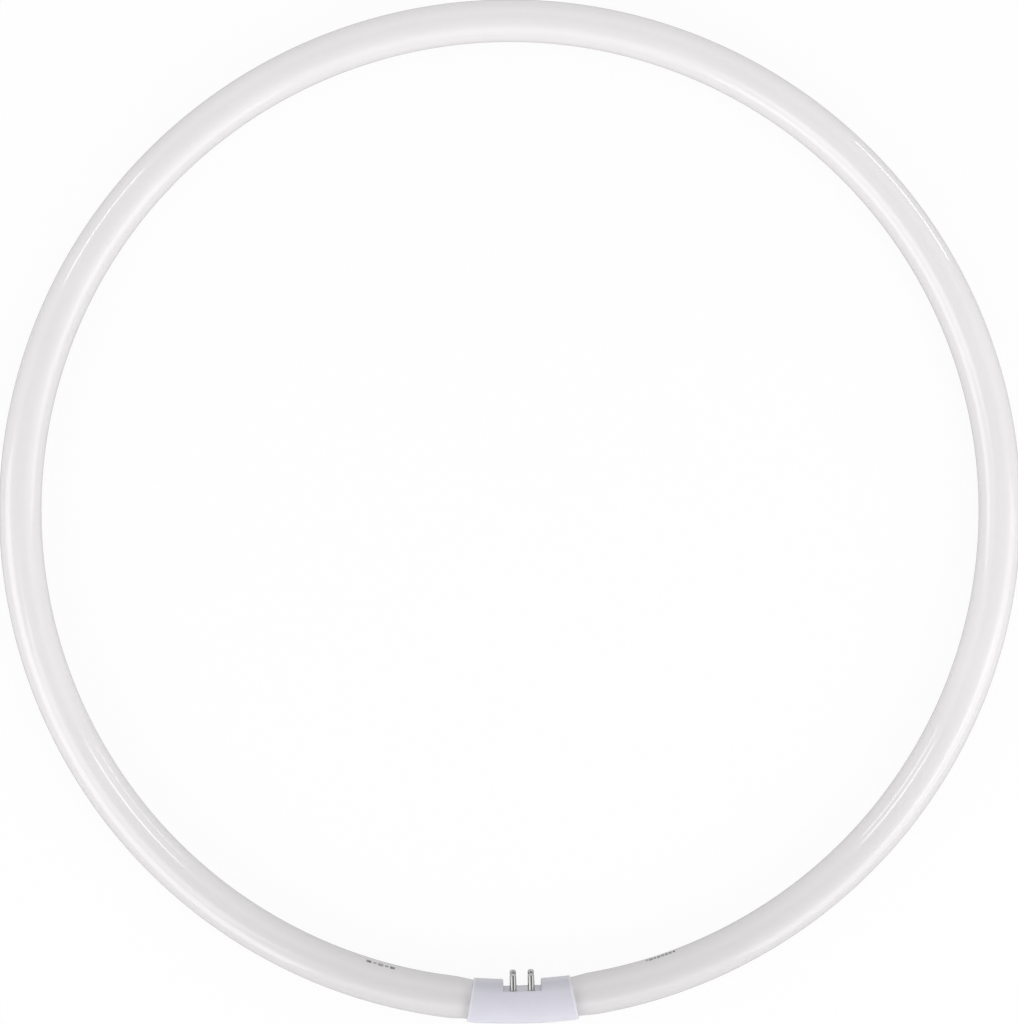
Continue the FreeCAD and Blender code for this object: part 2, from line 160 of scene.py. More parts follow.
# %% A group for uneven surfaces
def make_uneven_group():
    """Noise at two sizes: Tone shifts a colour or a roughness, and Height feeds a bump."""
    group = bpy.data.node_groups.new("uneven surface", "ShaderNodeTree")
    sockets = group.interface
    sockets.new_socket("Coordinates", in_out="INPUT", socket_type="NodeSocketVector")
    for label in ("Broad Scale", "Fine Scale", "Broad Share"):
        sockets.new_socket(label, in_out="INPUT", socket_type="NodeSocketFloat")
    for label in ("Tone", "Height"):
        sockets.new_socket(label, in_out="OUTPUT", socket_type="NodeSocketFloat")
    given = add_node(group, "NodeGroupInput").outputs
    result = add_node(group, "NodeGroupOutput").inputs
    broad = add_node(group, "ShaderNodeTexNoise", {
        "Vector": given["Coordinates"], "Scale": given["Broad Scale"], "Detail": 3.0})
    fine = add_node(group, "ShaderNodeTexNoise", {
        "Vector": given["Coordinates"], "Scale": given["Fine Scale"], "Detail": 4.0})
    broad_part = calculate(group, "MULTIPLY", broad.outputs["Fac"], given["Broad Share"])
    fine_share = calculate(group, "SUBTRACT", 1.0, given["Broad Share"])
    fine_part = calculate(group, "MULTIPLY", fine.outputs["Fac"], fine_share)
    feed(group, result["Tone"], calculate(group, "ADD", broad_part, fine_part))
    feed(group, result["Height"], fine.outputs["Fac"])
    return group


uneven_group = make_uneven_group()


def uneven(tree, coordinates, broad_size, fine_size, broad_share):
    """Place the group, with the sizes of its two noises in metres."""
    node = add_node(tree, "ShaderNodeGroup", {
        "Coordinates": coordinates, "Broad Scale": 1 / broad_size, "Fine Scale": 1 / fine_size,
        "Broad Share": broad_share}, node_tree=uneven_group)
    return node.outputs


print("shared group:", uneven_group.name)

# %% Material helpers
NOISE_LOW, NOISE_HIGH = 0.3, 0.7    # most of a noise lies between these two values


def new_material(name):
    """Empty material with its Principled shader."""
    material = bpy.data.materials.new(name)
    material.use_nodes = True
    return material, material.node_tree, material.node_tree.nodes["Principled BSDF"]


def own_place(tree):
    """The piece's own coordinates, in metres."""
    return add_node(tree, "ShaderNodeTexCoord").outputs["Object"]


def ramp(tree, value, low_colour, high_colour, low=NOISE_LOW, high=NOISE_HIGH):
    """Colour that goes from one to the other as the value rises."""
    node = add_node(tree, "ShaderNodeValToRGB", {"Fac": value})
    node.color_ramp.elements[0].position = low
    node.color_ramp.elements[1].position = high
    node.color_ramp.elements[0].color = (*low_colour, 1)
    node.color_ramp.elements[1].color = (*high_colour, 1)
    return node.outputs["Color"]


def spread(tree, value, low, high):
    """Number that goes from low to high as a noise value rises."""
    node = add_node(tree, "ShaderNodeMapRange", {
        "Value": value, "From Min": NOISE_LOW, "From Max": NOISE_HIGH, "To Min": low, "To Max": high})
    return node.outputs["Result"]


def add_bump(tree, shader, height, strength, depth):
    """Let a height tilt the surface that the shader sees."""
    bump = add_node(tree, "ShaderNodeBump", {"Height": height, "Strength": strength, "Distance": depth})
    feed(tree, shader.inputs["Normal"], bump.outputs["Normal"])


print("material helpers: new_material, own_place, ramp, spread, add_bump")

# %% [markdown]
# ## Coated glass
# From outside one sees clear glass with a bright powder behind it: a matt white under a sharp gloss. It
# could be two shells, one clear and one white, but one Principled shader does both, because its diffuse
# part is the powder and its reflection is the glass. Both faces of the glass wall mirror, so the index
# of refraction is set above that of plain glass. A faintly grey coat draws the fine outline: seen edge
# on, the light goes a longer way through it. The glass was drawn out as a tube before it was bent,
# which left it very slightly wavy along its length, so the reflections waver a little. Towards the two
# ends, by the cap, the powder's colour is darkened: this is painted shade, where the light falls off.
# The ring's own angle and the angle round the tube are worked out from the object's coordinates, so
# that the pattern and the painted shade follow the bend.

# %% Coordinates that follow the bend
def ring_coordinates(tree):
    """Angle round the ring from its far side, and lengths along the ring and round the tube."""
    split = add_node(tree, "ShaderNodeSeparateXYZ", {"Vector": own_place(tree)}).outputs
    turn = calculate(tree, "ARCTAN2", split["X"], split["Y"])
    along = calculate(tree, "MULTIPLY", turn, ring_radius)
    x_squared = calculate(tree, "MULTIPLY", split["X"], split["X"])
    y_squared = calculate(tree, "MULTIPLY", split["Y"], split["Y"])
    reach = calculate(tree, "SQRT", calculate(tree, "ADD", x_squared, y_squared))
    outward = calculate(tree, "SUBTRACT", reach, ring_radius)
    upward = calculate(tree, "SUBTRACT", split["Z"], ring_height)
    around_tube = calculate(tree, "MULTIPLY", calculate(tree, "ARCTAN2", outward, upward), tube_radius)
    follow = add_node(tree, "ShaderNodeCombineXYZ", {"X": along, "Y": around_tube})
    return turn, follow.outputs["Vector"]


print(f"the pattern runs {2 * half_turn * ring_radius / MM:.0f} mm along the bend")

# %% Glass material
POWDER_DIM, POWDER_BRIGHT = (0.905, 0.887, 0.897), (0.934, 0.916, 0.926)
END_SHADE_START = math.radians(70)    # the painted shade starts this far from the middle of the cap
END_SHADE_TONE = 0.80
DRAWN_OUT = (0.12, 1.0, 1.0)    # a small scale along the ring makes long waves
GLASS_IOR = 1.9
OUTLINE_IOR = 1.005
OUTLINE_TINT = (0.945, 0.942, 0.944, 1)


def make_coated_glass():
    """White powder behind clear glass, with painted shade towards the ends."""
    material, tree, shader = new_material("coated glass")
    turn, follow = ring_coordinates(tree)
    drawn = add_node(tree, "ShaderNodeMapping", {"Vector": follow, "Scale": DRAWN_OUT})
    powder = uneven(tree, follow, broad_size=40 * MM, fine_size=3 * MM, broad_share=0.7)
    waves = uneven(tree, drawn.outputs["Vector"], broad_size=22 * MM, fine_size=5 * MM, broad_share=0.8)
    white = ramp(tree, powder["Tone"], POWDER_DIM, POWDER_BRIGHT)
    # Painted shade: the powder's colour darkens towards the ends of the ring, by the cap.
    end_shade = add_node(tree, "ShaderNodeMapRange", {
        "Value": calculate(tree, "ABSOLUTE", turn), "From Min": math.pi - END_SHADE_START,
        "From Max": half_turn, "To Min": 1.0, "To Max": END_SHADE_TONE})
    end_shaded = add_node(tree, "ShaderNodeVectorMath", {0: white, "Scale": end_shade.outputs["Result"]},
                      operation="SCALE")
    feed(tree, shader.inputs["Base Color"], end_shaded.outputs["Vector"])
    feed(tree, shader.inputs["Roughness"], spread(tree, waves["Tone"], low=0.05, high=0.08))
    add_bump(tree, shader, waves["Tone"], strength=0.10, depth=0.1 * MM)
    shader.inputs["IOR"].default_value = GLASS_IOR
    shader.inputs["Coat Weight"].default_value = 1
    shader.inputs["Coat Roughness"].default_value = 0.04
    shader.inputs["Coat IOR"].default_value = OUTLINE_IOR
    shader.inputs["Coat Tint"].default_value = OUTLINE_TINT
    return material


coated_glass = make_coated_glass()
print("made", coated_glass.name)

# %% [markdown]
# ## The glass ring
# The solid's mesh is made of flat facets that a glossy reflection would show. The ring follows a rule,
# so a geometry tree redraws it far more finely: a straight line is cut into steps, each step is moved
# onto the bend or onto a straight end, and a circle is swept along it. At both ends the wall is drawn
# in to a neck, which a smooth step does.

# %% Geometry helpers
FLOAT, INTEGER, MATERIAL = "NodeSocketFloat", "NodeSocketInt", "NodeSocketMaterial"


def new_geometry_tree(name, inputs):
    """Geometry tree with a Geometry input and output, and the named inputs with their socket types."""
    tree = bpy.data.node_groups.new(name, "GeometryNodeTree")
    tree.interface.new_socket("Geometry", in_out="INPUT", socket_type="NodeSocketGeometry")
    for label, kind in inputs.items():
        tree.interface.new_socket(label, in_out="INPUT", socket_type=kind)
    tree.interface.new_socket("Geometry", in_out="OUTPUT", socket_type="NodeSocketGeometry")
    given = add_node(tree, "NodeGroupInput").outputs
    result = add_node(tree, "NodeGroupOutput").inputs["Geometry"]
    return tree, given, result


def grow(name, tree, values):
    """Run a geometry tree with these values and keep its result as a plain mesh object."""
    holder = bpy.data.objects.new(name, bpy.data.meshes.new(name))
    bpy.context.scene.collection.objects.link(holder)
    modifier = holder.modifiers.new(name, "NODES")
    modifier.node_group = tree
    items = tree.interface.items_tree
    sockets = {item.name: item.identifier for item in items if item.in_out == "INPUT"}
    for label, value in values.items():
        modifier[sockets[label]] = value
    bpy.context.view_layer.update()
    evaluated = holder.evaluated_get(bpy.context.evaluated_depsgraph_get())
    grown = bpy.data.meshes.new_from_object(evaluated)
    holder.modifiers.remove(modifier)
    holder.data = grown
    print(f"{name}: {len(grown.vertices)} points, {len(grown.polygons)} faces")
    return holder


print("geometry helpers: new_geometry_tree, grow")

# %% A tree that sweeps the tube
def make_ring_tree():
    """Bend a line round the ring and straight into the cap, and sweep the tube's section along it."""
    tree, given, result = new_geometry_tree("glass ring", {
        "Ring Radius": FLOAT, "Ring Height": FLOAT, "Half Turn": FLOAT, "Straight Length": FLOAT,
        "Tube Radius": FLOAT, "Neck Step": FLOAT, "Neck Taper": FLOAT,
        "Steps Along": INTEGER, "Steps Around": INTEGER, "Glass": MATERIAL})
    line = add_node(tree, "GeometryNodeCurvePrimitiveLine", {"End": (1, 0, 0)})
    path = add_node(tree, "GeometryNodeResampleCurve", {
        "Curve": line.outputs[0], "Count": given["Steps Along"]})
    share = add_node(tree, "GeometryNodeSplineParameter").outputs["Factor"]
    radius = given["Ring Radius"]
    bent_length = calculate(tree, "MULTIPLY", given["Half Turn"], radius)
    half_length = calculate(tree, "ADD", bent_length, given["Straight Length"])
    signed_share = calculate(tree, "MULTIPLY_ADD", share, 2.0, -1.0)
    travel = calculate(tree, "MULTIPLY", signed_share, half_length)
    least = calculate(tree, "MULTIPLY", given["Half Turn"], -1.0)
    free_turn = calculate(tree, "DIVIDE", travel, radius)
    turn = calculate(tree, "MINIMUM", calculate(tree, "MAXIMUM", free_turn, least), given["Half Turn"])
    straight = calculate(tree, "SUBTRACT", travel, calculate(tree, "MULTIPLY", turn, radius))
    sine, cosine = calculate(tree, "SINE", turn), calculate(tree, "COSINE", turn)
    x = calculate(tree, "MULTIPLY_ADD", radius, sine, calculate(tree, "MULTIPLY", straight, cosine))
    fall = calculate(tree, "MULTIPLY", straight, sine)
    y = calculate(tree, "SUBTRACT", calculate(tree, "MULTIPLY", radius, cosine), fall)
    spot = add_node(tree, "ShaderNodeCombineXYZ", {"X": x, "Y": y, "Z": given["Ring Height"]})
    moved = add_node(tree, "GeometryNodeSetPosition", {
        "Geometry": path.outputs[0], "Position": spot.outputs["Vector"]})
    upright = add_node(tree, "GeometryNodeSetCurveNormal", {"Curve": moved.outputs[0]}, mode="Z_UP")
    run = calculate(tree, "ABSOLUTE", straight)
    drawn_in = add_node(tree, "ShaderNodeMapRange", {
        "Value": run, "From Max": given["Neck Taper"], "To Max": given["Neck Step"]},
        interpolation_type="SMOOTHSTEP")
    wall = calculate(tree, "SUBTRACT", given["Tube Radius"], drawn_in.outputs["Result"])
    section = add_node(tree, "GeometryNodeCurvePrimitiveCircle", {
        "Resolution": given["Steps Around"], "Radius": 1.0})
    swept = add_node(tree, "GeometryNodeCurveToMesh", {
        "Curve": upright.outputs[0], "Profile Curve": section.outputs[0], "Scale": wall})
    smooth = add_node(tree, "GeometryNodeSetShadeSmooth", {"Geometry": swept.outputs[0]})
    real = add_node(tree, "GeometryNodeRealizeInstances", {"Geometry": smooth.outputs[0]})
    coated = add_node(tree, "GeometryNodeSetMaterial", {
        "Geometry": real.outputs[0], "Material": given["Glass"]})
    feed(tree, result, coated.outputs[0])
    return tree


ring_tree = make_ring_tree()
print(f"{ring_tree.name} tree: {len(ring_tree.nodes)} nodes")

# %% Sweep the tube
NECK_TAPER = 8.5 * MM
RIM_ROUNDING = 0.8 * MM
STEPS_ALONG = 1200
STEPS_AROUND = 48

glass_ring = grow("glass_ring", ring_tree, {
    "Ring Radius": ring_radius, "Ring Height": ring_height, "Half Turn": half_turn,
    "Straight Length": end_length - RIM_ROUNDING, "Tube Radius": tube_radius,
    "Neck Step": tube_radius - neck_radius, "Neck Taper": NECK_TAPER, "Steps Along": STEPS_ALONG,
    "Steps Around": STEPS_AROUND, "Glass": coated_glass})

# %% [markdown]
# ## The sealed ends
# Inside the cap each neck ends in a rounded rim, a shallow funnel and the stub through which the lamp
# was pumped out. A Screw modifier could turn their half outline, but here it has to meet the sweep
# point for point. So the points are turned about the axis of the straight end, once for each end, and
# the first circle is merged with the last circle of the sweep, so that the glass is one closed skin.
# The small sizes, which the cap hides, repeat those of the solid.

# %% Outline of the seals
RIM_WIDTH = 1.4 * MM
SEAL_DEPTH = 3 * MM
SEAL_FLARE = 1.2 * MM
STUB_RADIUS = 1.9 * MM
STUB_LENGTH = 6.5 * MM
ROUND_STEPS = 5


def quarter(centre_along, centre_radius, size):
    """Points on a quarter circle, from straight out a quarter turn down towards the axis."""
    turns = [math.pi / 2 - math.pi / 2 * step / ROUND_STEPS for step in range(ROUND_STEPS + 1)]
    return [(centre_along + size * math.cos(t), centre_radius + size * math.sin(t)) for t in turns]


mouth_radius = neck_radius - RIM_WIDTH
seal_floor = end_length - SEAL_DEPTH
rim = quarter(end_length - RIM_ROUNDING, neck_radius - RIM_ROUNDING, RIM_ROUNDING)
funnel = [(end_length, mouth_radius), (seal_floor, mouth_radius - SEAL_FLARE)]
stub = [(seal_floor, STUB_RADIUS)] + quarter(seal_floor + STUB_LENGTH - STUB_RADIUS, 0, STUB_RADIUS)
seal_outline = rim + funnel + stub
print(f"outline of a seal: {len(seal_outline)} points")

# %% Turn the seals and close the skin
SHARP_ANGLE = math.radians(35)
MIRROR = Vector((-1, 1, 1))


def turn_outline(mesh, outline, base, axis):
    """Turn an outline of (along, radius) points about an axis that lies level."""
    side = Vector((0, 0, 1))
    across = axis.cross(side)
    angles = [2 * math.pi * step / STEPS_AROUND for step in range(STEPS_AROUND)]
    directions = [side * math.cos(a) + across * math.sin(a) for a in angles]
    rings = []
    for along, radius in outline[:-1]:
        centre = base + axis * along
        rings.append([mesh.verts.new(centre + direction * radius) for direction in directions])
    for near, far in zip(rings, rings[1:]):
        for step in range(STEPS_AROUND):
            following = (step + 1) % STEPS_AROUND
            mesh.faces.new((near[step], near[following], far[following], far[step]))
    tip = mesh.verts.new(base + axis * outline[-1][0])
    for step in range(STEPS_AROUND):
        mesh.faces.new((rings[-1][step], rings[-1][(step + 1) % STEPS_AROUND], tip))


skin = bmesh.new()
skin.from_mesh(glass_ring.data)
turn_outline(skin, seal_outline, bend_end, end_axis)
turn_outline(skin, seal_outline, bend_end * MIRROR, end_axis * MIRROR)
bmesh.ops.remove_doubles(skin, verts=skin.verts, dist=SAME_PLACE)
bmesh.ops.recalc_face_normals(skin, faces=skin.faces)
for face in skin.faces:
    face.smooth = True
open_edges = sum(not edge.is_manifold for edge in skin.edges)
skin.to_mesh(glass_ring.data)
print(f"glass skin: {len(skin.faces)} faces, {open_edges} open edges")
print(f"glass volume: {skin.calc_volume() / MM**3:.0f} mm3")
skin.free()
glass_ring.data.set_sharp_from_angle(angle=SHARP_ANGLE)
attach(glass_ring, "root")
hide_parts("discharge_tube")

# %% [markdown]
# ## Ink marks
# On each side of the cap the glass carries a plain row of small grey dashes, which face the middle of
# the ring. They could be painted by the glass material, but as thin pieces they stay sharp from any
# distance. The dashes are laid out flat in a row, given a thickness, and then the whole row is wrapped
# onto the tube: its length becomes an angle round the ring and its height an angle round the tube. Ink
# is a film, so it stands only a few hundredths of a millimetre proud.

# %% Ink material
INK_DARK, INK_FADED = (0.15, 0.15, 0.155), (0.46, 0.455, 0.46)


def make_ink():
    """Grey ink, thinner in places."""
    material, tree, shader = new_material("stamped ink")
    patchy = uneven(tree, own_place(tree), broad_size=3 * MM, fine_size=0.3 * MM, broad_share=0.7)
    colour = ramp(tree, patchy["Tone"], INK_DARK, INK_FADED, low=0.4, high=0.6)
    feed(tree, shader.inputs["Base Color"], colour)
    feed(tree, shader.inputs["Roughness"], spread(tree, patchy["Tone"], low=0.35, high=0.6))
    add_bump(tree, shader, patchy["Height"], strength=0.2, depth=0.02 * MM)
    return material


stamped_ink = make_ink()
print("made", stamped_ink.name)

# %% A tree that wraps dashes onto the tube
DASH_POINTS = 5


def make_mark_tree():
    """Lay out a row of dashes of uneven size, thicken it, and wrap it onto the tube."""
    tree, given, result = new_geometry_tree("ink marks", {
        "Ring Radius": FLOAT, "Ring Height": FLOAT, "Tube Radius": FLOAT, "Middle Turn": FLOAT,
        "Tilt": FLOAT, "Count": INTEGER, "Pitch": FLOAT, "Length": FLOAT, "Height": FLOAT,
        "Thickness": FLOAT, "Least Share": FLOAT, "Seed": INTEGER, "Ink": MATERIAL})
    dash = add_node(tree, "GeometryNodeMeshGrid", {
        "Size X": given["Length"], "Size Y": given["Height"],
        "Vertices X": DASH_POINTS, "Vertices Y": DASH_POINTS})
    span = calculate(tree, "MULTIPLY", calculate(tree, "SUBTRACT", given["Count"], 1.0), given["Pitch"])
    first = add_node(tree, "ShaderNodeCombineXYZ", {"X": calculate(tree, "MULTIPLY", span, -0.5)})
    pitch = add_node(tree, "ShaderNodeCombineXYZ", {"X": given["Pitch"]})
    row = add_node(tree, "GeometryNodeMeshLine", {
        "Count": given["Count"], "Start Location": first.outputs[0], "Offset": pitch.outputs[0]})
    shares = [add_node(tree, "FunctionNodeRandomValue", {
        "Min": given["Least Share"], "Max": 1.0, "ID": step, "Seed": given["Seed"]}) for step in (0, 1)]
    size = add_node(tree, "ShaderNodeCombineXYZ", {
        "X": shares[0].outputs[1], "Y": shares[1].outputs[1], "Z": 1.0})
    dashes = add_node(tree, "GeometryNodeInstanceOnPoints", {
        "Points": row.outputs[0], "Instance": dash.outputs[0], "Scale": size.outputs[0]})
    real = add_node(tree, "GeometryNodeRealizeInstances", {"Geometry": dashes.outputs[0]})
    thick = add_node(tree, "GeometryNodeExtrudeMesh", {
        "Mesh": real.outputs[0], "Offset Scale": given["Thickness"], "Individual": False})
    under = add_node(tree, "GeometryNodeFlipFaces", {"Mesh": real.outputs[0]})
    film = add_node(tree, "GeometryNodeJoinGeometry")
    tree.links.new(thick.outputs["Mesh"], film.inputs[0])
    tree.links.new(under.outputs[0], film.inputs[0])
    sealed = add_node(tree, "GeometryNodeMergeByDistance", {
        "Geometry": film.outputs[0], "Distance": SAME_PLACE})
    flat = add_node(tree, "ShaderNodeSeparateXYZ", {
        "Vector": add_node(tree, "GeometryNodeInputPosition").outputs[0]}).outputs
    own_tilt = calculate(tree, "DIVIDE", flat["Y"], given["Tube Radius"])
    tilt = calculate(tree, "ADD", given["Tilt"], own_tilt)
    lift = calculate(tree, "ADD", given["Tube Radius"], flat["Z"])
    across = calculate(tree, "MULTIPLY", lift, calculate(tree, "SINE", tilt))
    reach = calculate(tree, "ADD", given["Ring Radius"], across)
    turn = calculate(tree, "ADD", given["Middle Turn"], calculate(tree, "DIVIDE", flat["X"], reach))
    height = calculate(tree, "MULTIPLY_ADD", lift, calculate(tree, "COSINE", tilt), given["Ring Height"])
    x = calculate(tree, "MULTIPLY", reach, calculate(tree, "SINE", turn))
    back = calculate(tree, "MULTIPLY", reach, calculate(tree, "COSINE", turn))
    y = calculate(tree, "MULTIPLY", back, -1.0)
    spot = add_node(tree, "ShaderNodeCombineXYZ", {"X": x, "Y": y, "Z": height})
    wrapped = add_node(tree, "GeometryNodeSetPosition", {
        "Geometry": sealed.outputs[0], "Position": spot.outputs[0]})
    smooth = add_node(tree, "GeometryNodeSetShadeSmooth", {"Geometry": wrapped.outputs[0]})
    whole = add_node(tree, "GeometryNodeRealizeInstances", {"Geometry": smooth.outputs[0]})
    inked = add_node(tree, "GeometryNodeSetMaterial", {
        "Geometry": whole.outputs[0], "Material": given["Ink"]})
    feed(tree, result, inked.outputs[0])
    return tree


mark_tree = make_mark_tree()
print(f"{mark_tree.name} tree: {len(mark_tree.nodes)} nodes")

# %% Print the dashes
INK_THICKNESS = 0.03 * MM
LEAST_SHARE = 0.5    # every dash has at least this share of the full length and height


def print_marks(name, turn, tilt, count, pitch, length, height, seed):
    """Print one row of dashes, turned from the cap and tilted from the tube's crown, in degrees."""
    marks = grow(name, mark_tree, {
        "Ring Radius": ring_radius, "Ring Height": ring_height, "Tube Radius": tube_radius,
        "Middle Turn": math.radians(turn), "Tilt": math.radians(tilt), "Count": count, "Pitch": pitch,
        "Length": length, "Height": height, "Thickness": INK_THICKNESS, "Least Share": LEAST_SHARE,
        "Seed": seed, "Ink": stamped_ink})
    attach(marks, "root")


print_marks("ink_marks_left", turn=-17.35, tilt=-63, count=5, pitch=2.25 * MM, length=2.1 * MM,
            height=1.6 * MM, seed=4)
print_marks("ink_marks_right", turn=17.2, tilt=-74, count=8, pitch=1.49 * MM, length=1.3 * MM,
            height=1.9 * MM, seed=5)

# %% [markdown]
# ## Moulded plastic
# The cap is a cool white plastic with a faint lavender cast. A moulding has a fine even grain from its
# tool and very slow changes of tone where the plastic flowed, and it is satin rather than glossy. At
# the two slanted ends the lips are a little paler: a painted highlight of the light that their rounded
# edges catch. The mask for the lips needs no texture: the ends are flat, so one sum of X and Y says how
# close a place is to the end.

# %% Find the ends of the cap
CAP_HALVES = ("cap_front_half", "cap_rear_half")
END_SLANT = math.radians(11.5)


def towards_end(place):
    """Sum of X and Y that grows at right angles to the slanted end of the cap."""
    return abs(place.x) * math.cos(END_SLANT) + place.y * math.sin(END_SLANT)


cap_end = max(towards_end(vertex.co) for half in CAP_HALVES for vertex in nodes[half].data.vertices)
print(f"at the slanted ends of the cap the sum of X and Y is {cap_end / MM:.2f} mm")

# %% Plastic material
LIP_HIGHLIGHT_WIDTH = 0.9 * MM
BODY_DIM, BODY_BRIGHT = (0.552, 0.546, 0.608), (0.582, 0.576, 0.639)
LIP_HIGHLIGHT_DIM, LIP_HIGHLIGHT_BRIGHT = (0.64, 0.63, 0.67), (0.68, 0.67, 0.71)


def make_cap_plastic():
    """Satin white moulding with a fine grain and a painted highlight on the lips."""
    material, tree, shader = new_material("cap plastic")
    place = own_place(tree)
    grain = uneven(tree, place, broad_size=9 * MM, fine_size=0.18 * MM, broad_share=0.65)
    split = add_node(tree, "ShaderNodeSeparateXYZ", {"Vector": place}).outputs
    across = calculate(tree, "MULTIPLY", calculate(tree, "ABSOLUTE", split["X"]), math.cos(END_SLANT))
    reach = calculate(tree, "MULTIPLY_ADD", split["Y"], math.sin(END_SLANT), across)
    # Painted highlight: the lips at the slanted ends are made paler, as if their rounded edges caught
    # the light.
    lip_highlight_mask = add_node(tree, "ShaderNodeMapRange", {
        "Value": reach, "From Min": cap_end - LIP_HIGHLIGHT_WIDTH, "From Max": cap_end - LIP_HIGHLIGHT_WIDTH / 2})
    body = ramp(tree, grain["Tone"], BODY_DIM, BODY_BRIGHT)
    lip_highlight = ramp(tree, grain["Tone"], LIP_HIGHLIGHT_DIM, LIP_HIGHLIGHT_BRIGHT)
    colour = add_node(tree, "ShaderNodeMixRGB", {
        "Fac": lip_highlight_mask.outputs["Result"], "Color1": body, "Color2": lip_highlight})
    feed(tree, shader.inputs["Base Color"], colour.outputs["Color"])
    feed(tree, shader.inputs["Roughness"], spread(tree, grain["Tone"], low=0.34, high=0.46))
    add_bump(tree, shader, grain["Height"], strength=0.12, depth=0.05 * MM)
    shader.inputs["IOR"].default_value = 1.5
    return material


cap_plastic = make_cap_plastic()
for half in CAP_HALVES:
    nodes[half].material_slots[0].material = cap_plastic
print("dressed the cap in", cap_plastic.name)

# %% [markdown]
# ## Plated pins and wires
# The pins are drawn tubes with a bright nickel plate. Drawing leaves streaks along the pin, which is Y
# here, so the noise is stretched that way. The wires inside the cap are plainer metal, streaked along
# X. Streaks could be cut into the mesh, but they are far finer than its facets, so the material draws
# them.

# %% Metal materials
ALONG_Y, ALONG_X = (1, 0.08, 1), (0.1, 1, 1)    # a small scale draws the noise out that way


def make_metal(name, dark, bright, smoothest, roughest, stretch):
    """Metal with streaks along the stretched direction."""
    material, tree, shader = new_material(name)
    drawn = add_node(tree, "ShaderNodeMapping", {"Vector": own_place(tree), "Scale": stretch})
    streaks = uneven(tree, drawn.outputs["Vector"], broad_size=0.8 * MM, fine_size=0.15 * MM,
                     broad_share=0.5)
    feed(tree, shader.inputs["Base Color"], ramp(tree, streaks["Tone"], dark, bright))
    feed(tree, shader.inputs["Roughness"], spread(tree, streaks["Tone"], smoothest, roughest))
    add_bump(tree, shader, streaks["Height"], strength=0.15, depth=0.02 * MM)
    shader.inputs["Metallic"].default_value = 1
    return material


pin_plating = make_metal("pin plating", dark=(0.33, 0.325, 0.318), bright=(0.57, 0.564, 0.553),
                         smoothest=0.08, roughest=0.18, stretch=ALONG_Y)
lead_metal = make_metal("lead metal", dark=(0.42, 0.41, 0.40), bright=(0.62, 0.61, 0.60),
                        smoothest=0.3, roughest=0.45, stretch=ALONG_X)
for name, node in nodes.items():
    if name.startswith("contact_pin"):
        node.material_slots[0].material = pin_plating
    if name.startswith("lead_wire"):
        node.material_slots[0].material = lead_metal
print("dressed the pins in", pin_plating.name, "and the wires in", lead_metal.name)

# %% [markdown]
# ## White floor
# The ring lies on a white sheet. The sheet throws back a little over half of the light that falls on
# it, and the camera sees it washed out nearly to pure white, as in a product picture, with only a
# breath of shadow left. More light on the sheet would whiten it too, but it would bleach the lamp as
# well, so the sheet's own material does it.

# %% White floor
FLOOR_SIZE = 8.0
WASH = 0.92


def grey(level):
    """Neutral colour of this brightness."""
    return (level, level, level)


def make_floor_material():
    """Pale sheet that the camera sees as white."""
    material, tree, shader = new_material("white sheet")
    paper = uneven(tree, own_place(tree), broad_size=60 * MM, fine_size=2 * MM, broad_share=0.6)
    rays = add_node(tree, "ShaderNodeLightPath").outputs
    looked_at = calculate(tree, "MAXIMUM", rays["Is Camera Ray"], rays["Is Glossy Ray"])
    looked_at = calculate(tree, "MAXIMUM", looked_at, rays["Is Transmission Ray"])
    thrown_back = ramp(tree, paper["Tone"], grey(0.56), grey(0.60))
    seen = ramp(tree, paper["Tone"], grey(0.94), grey(0.96))
    colour = add_node(tree, "ShaderNodeMixRGB", {
        "Fac": looked_at, "Color1": thrown_back, "Color2": seen})
    feed(tree, shader.inputs["Base Color"], colour.outputs["Color"])
    shader.inputs["Roughness"].default_value = 1
    shader.inputs["Specular IOR Level"].default_value = 0
    glow = add_node(tree, "ShaderNodeEmission", {"Strength": 1.0})
    wash = add_node(tree, "ShaderNodeMixShader", {
        0: calculate(tree, "MULTIPLY", looked_at, WASH), 1: shader.outputs[0], 2: glow.outputs[0]})
    tree.links.new(wash.outputs[0], tree.nodes["Material Output"].inputs["Surface"])
    return material


bpy.ops.mesh.primitive_plane_add(size=FLOOR_SIZE)
floor = bpy.context.object
floor.name = "floor"
floor.data.materials.append(make_floor_material())
print(f"floor {FLOOR_SIZE} m wide in", floor.data.materials[0].name)

# %% [markdown]
# ## Soft light
# White walls all round and a dim ceiling, where the camera hangs, give the glass its grey crown and
# pale flanks. Three broad lamps shade it, and aren't mirrored in it. Cards on the near side, left and
# right do the opposite: they only show where the glass mirrors them, as soft bands. Narrow strips draw
# the fine bright lines. One large lamp could do most of this, but then no band or line could be set by
# itself. The cap is opaque and shades more strongly than powder, which lets light through, so it has a
# small near lamp of its own.

# %% Surround
SURROUND = 1.0
CEILING = 0.25
WALL_TOP, CEILING_EDGE = 0.66, 0.95    # heights on a ball of radius 1, between which the walls dim


def make_surround():
    """White walls all round, and a dim ceiling where the camera hangs."""
    world = bpy.data.worlds.new("white surround")
    world.use_nodes = True
    tree = world.node_tree
    direction = add_node(tree, "ShaderNodeTexCoord").outputs["Generated"]
    rise = add_node(tree, "ShaderNodeSeparateXYZ", {"Vector": direction}).outputs["Z"]
    back = tree.nodes["Background"]
    tone = ramp(tree, rise, grey(1), grey(CEILING), low=WALL_TOP, high=CEILING_EDGE)
    feed(tree, back.inputs["Color"], tone)
    back.inputs["Strength"].default_value = SURROUND
    return world


bpy.context.scene.world = make_surround()
print("surround strength", SURROUND, "and ceiling", CEILING)

